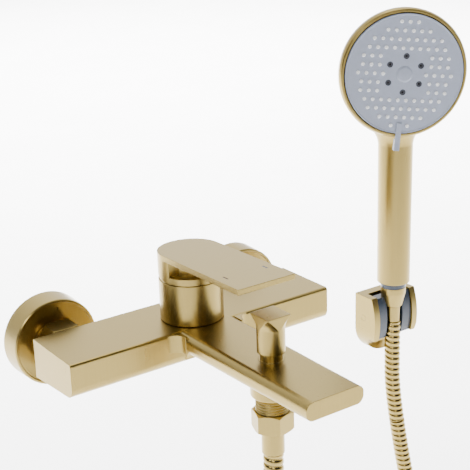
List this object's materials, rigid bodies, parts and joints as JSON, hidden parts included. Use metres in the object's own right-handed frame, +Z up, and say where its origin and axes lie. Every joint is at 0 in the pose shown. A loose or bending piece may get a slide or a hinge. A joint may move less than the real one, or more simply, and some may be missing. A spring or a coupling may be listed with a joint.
{
  "type": "wall mounted bath faucet",
  "caption": "Wall mounted bath mixer: bar body with flat spout, single lever, pull-up diverter, and a hand shower on a hose in a swivelling wall holder.",
  "frame": {"origin": "on the wall's face, midway between the axes of the two wall inlets", "axes": "+Y into the wall along the inlets, +X to the right along the bar, +Z up; the spout reaches towards -Y"},
  "size_m": [0.3628, 0.2238, 0.7021],
  "materials": {
    "gold": "brushed champagne gold",
    "hose_metal": "satin champagne gold, wound strip",
    "brass": "turned, unplated",
    "steel": "plain",
    "slate": "dark slate, polished",
    "rubber": "matte",
    "ceramic": "lapped ceramic",
    "white_plastic": "moulded",
    "face_grey": "satin bluish grey",
    "dark_grey": "satin",
    "hot_red": "filled mark",
    "cold_blue": "filled mark"
  },
  "bodies": {
    "mixer": {"body_casting": "gold", "inlet_tail_left": "brass", "inlet_tail_right": "brass", "union_nut_left": "gold", "union_nut_right": "gold", "union_washer_left": "rubber", "union_washer_right": "rubber", "wall_union_left": "brass", "wall_union_right": "brass", "wall_plate_left": "gold", "wall_plate_right": "gold", "cartridge_sleeve": "gold", "cartridge_seal": "rubber", "cartridge_housing": "white_plastic", "fixed_disc": "ceramic", "clamp_nut": "brass", "diverter_bonnet": "gold", "diverter_o_ring": "rubber", "diverter_spring": "steel", "aerator_housing": "gold", "aerator_insert": "white_plastic", "outlet_nipple": "gold", "hose_nut": "gold", "hose_washer_lower": "rubber", "hose_ferrule_lower": "gold", "hose": "hose_metal", "holder_base": "gold", "holder_plate": "steel", "holder_grub_screw": "steel", "holder_pivots": "gold"},
    "carrier": {"cartridge_carrier": "white_plastic", "pivot_pin": "steel"},
    "disc": {"moving_disc": "ceramic"},
    "lever": {"lever_handle": "gold", "lever_stem": "brass", "lever_screw": "steel", "hot_mark": "hot_red", "cold_mark": "cold_blue"},
    "diverter": {"diverter_knob": "gold", "diverter_rod": "brass", "diverter_plug": "rubber"},
    "holder": {"holder_cradle": "slate", "hose_top": "hose_metal"},
    "hose_end": {"cone_nut": "gold", "hose_washer_upper": "rubber", "hose_ferrule_upper": "gold"},
    "hand_shower": {"handset_shell": "gold", "handset_nipple": "slate", "water_tube": "white_plastic", "distributor": "white_plastic", "face_screw": "steel"},
    "spray": {"spray_face": "face_grey", "nozzle_mat": "rubber", "selector_disc": "white_plastic", "massage_jets": "dark_grey", "face_cap": "face_grey", "selector_tab": "face_grey"}
  },
  "joints": [
    {"name": "lever_swivel", "type": "hinge", "parent": "mixer", "child": "carrier", "pos_m": [0, -0.0648, 0.045], "axis": [0, 0, 1], "range_deg": [-45, 45]},
    {"name": "lever_lift", "type": "hinge", "parent": "carrier", "child": "lever", "pos_m": [0, -0.0648, 0.03], "axis": [-1, 0, 0], "range_deg": [0, 15]},
    {"name": "disc_slide", "type": "slide", "parent": "carrier", "child": "disc", "axis": [0, -1, 0], "range_m": [0, 0.0031]},
    {"name": "diverter_pull", "type": "slide", "parent": "mixer", "child": "diverter", "axis": [0, 0, 1], "range_m": [0, 0.007], "stiffness_N_per_m": 120, "springref_m": -0.004, "deforming": ["diverter_spring"]},
    {"name": "holder_tilt", "type": "hinge", "parent": "mixer", "child": "holder", "pos_m": [0.2196, -0.01, -0.0587], "axis": [1, 0, 0], "range_deg": [0, 20], "deforming": ["hose"]},
    {"name": "hand_shower_lift", "type": "slide", "parent": "holder", "child": "hose_end", "axis": [0, 0, 1], "range_m": [0, 0.045], "deforming": ["hose_top"]},
    {"name": "hand_shower_turn", "type": "hinge", "parent": "hose_end", "child": "hand_shower", "pos_m": [0.2196, -0.0195, 0], "axis": [0, 0, 1], "range_deg": [-16, 73]},
    {"name": "spray_select", "type": "hinge", "parent": "hand_shower", "child": "spray", "pos_m": [0.2196, -0.0195, 0.14135], "axis": [-0.4772, -0.8788, 0], "range_deg": [-30, 30]}
  ],
  "couplings": [
    {"joint": "disc_slide", "follows": "lever_lift", "m_per_rad": 0.0118}
  ]
}
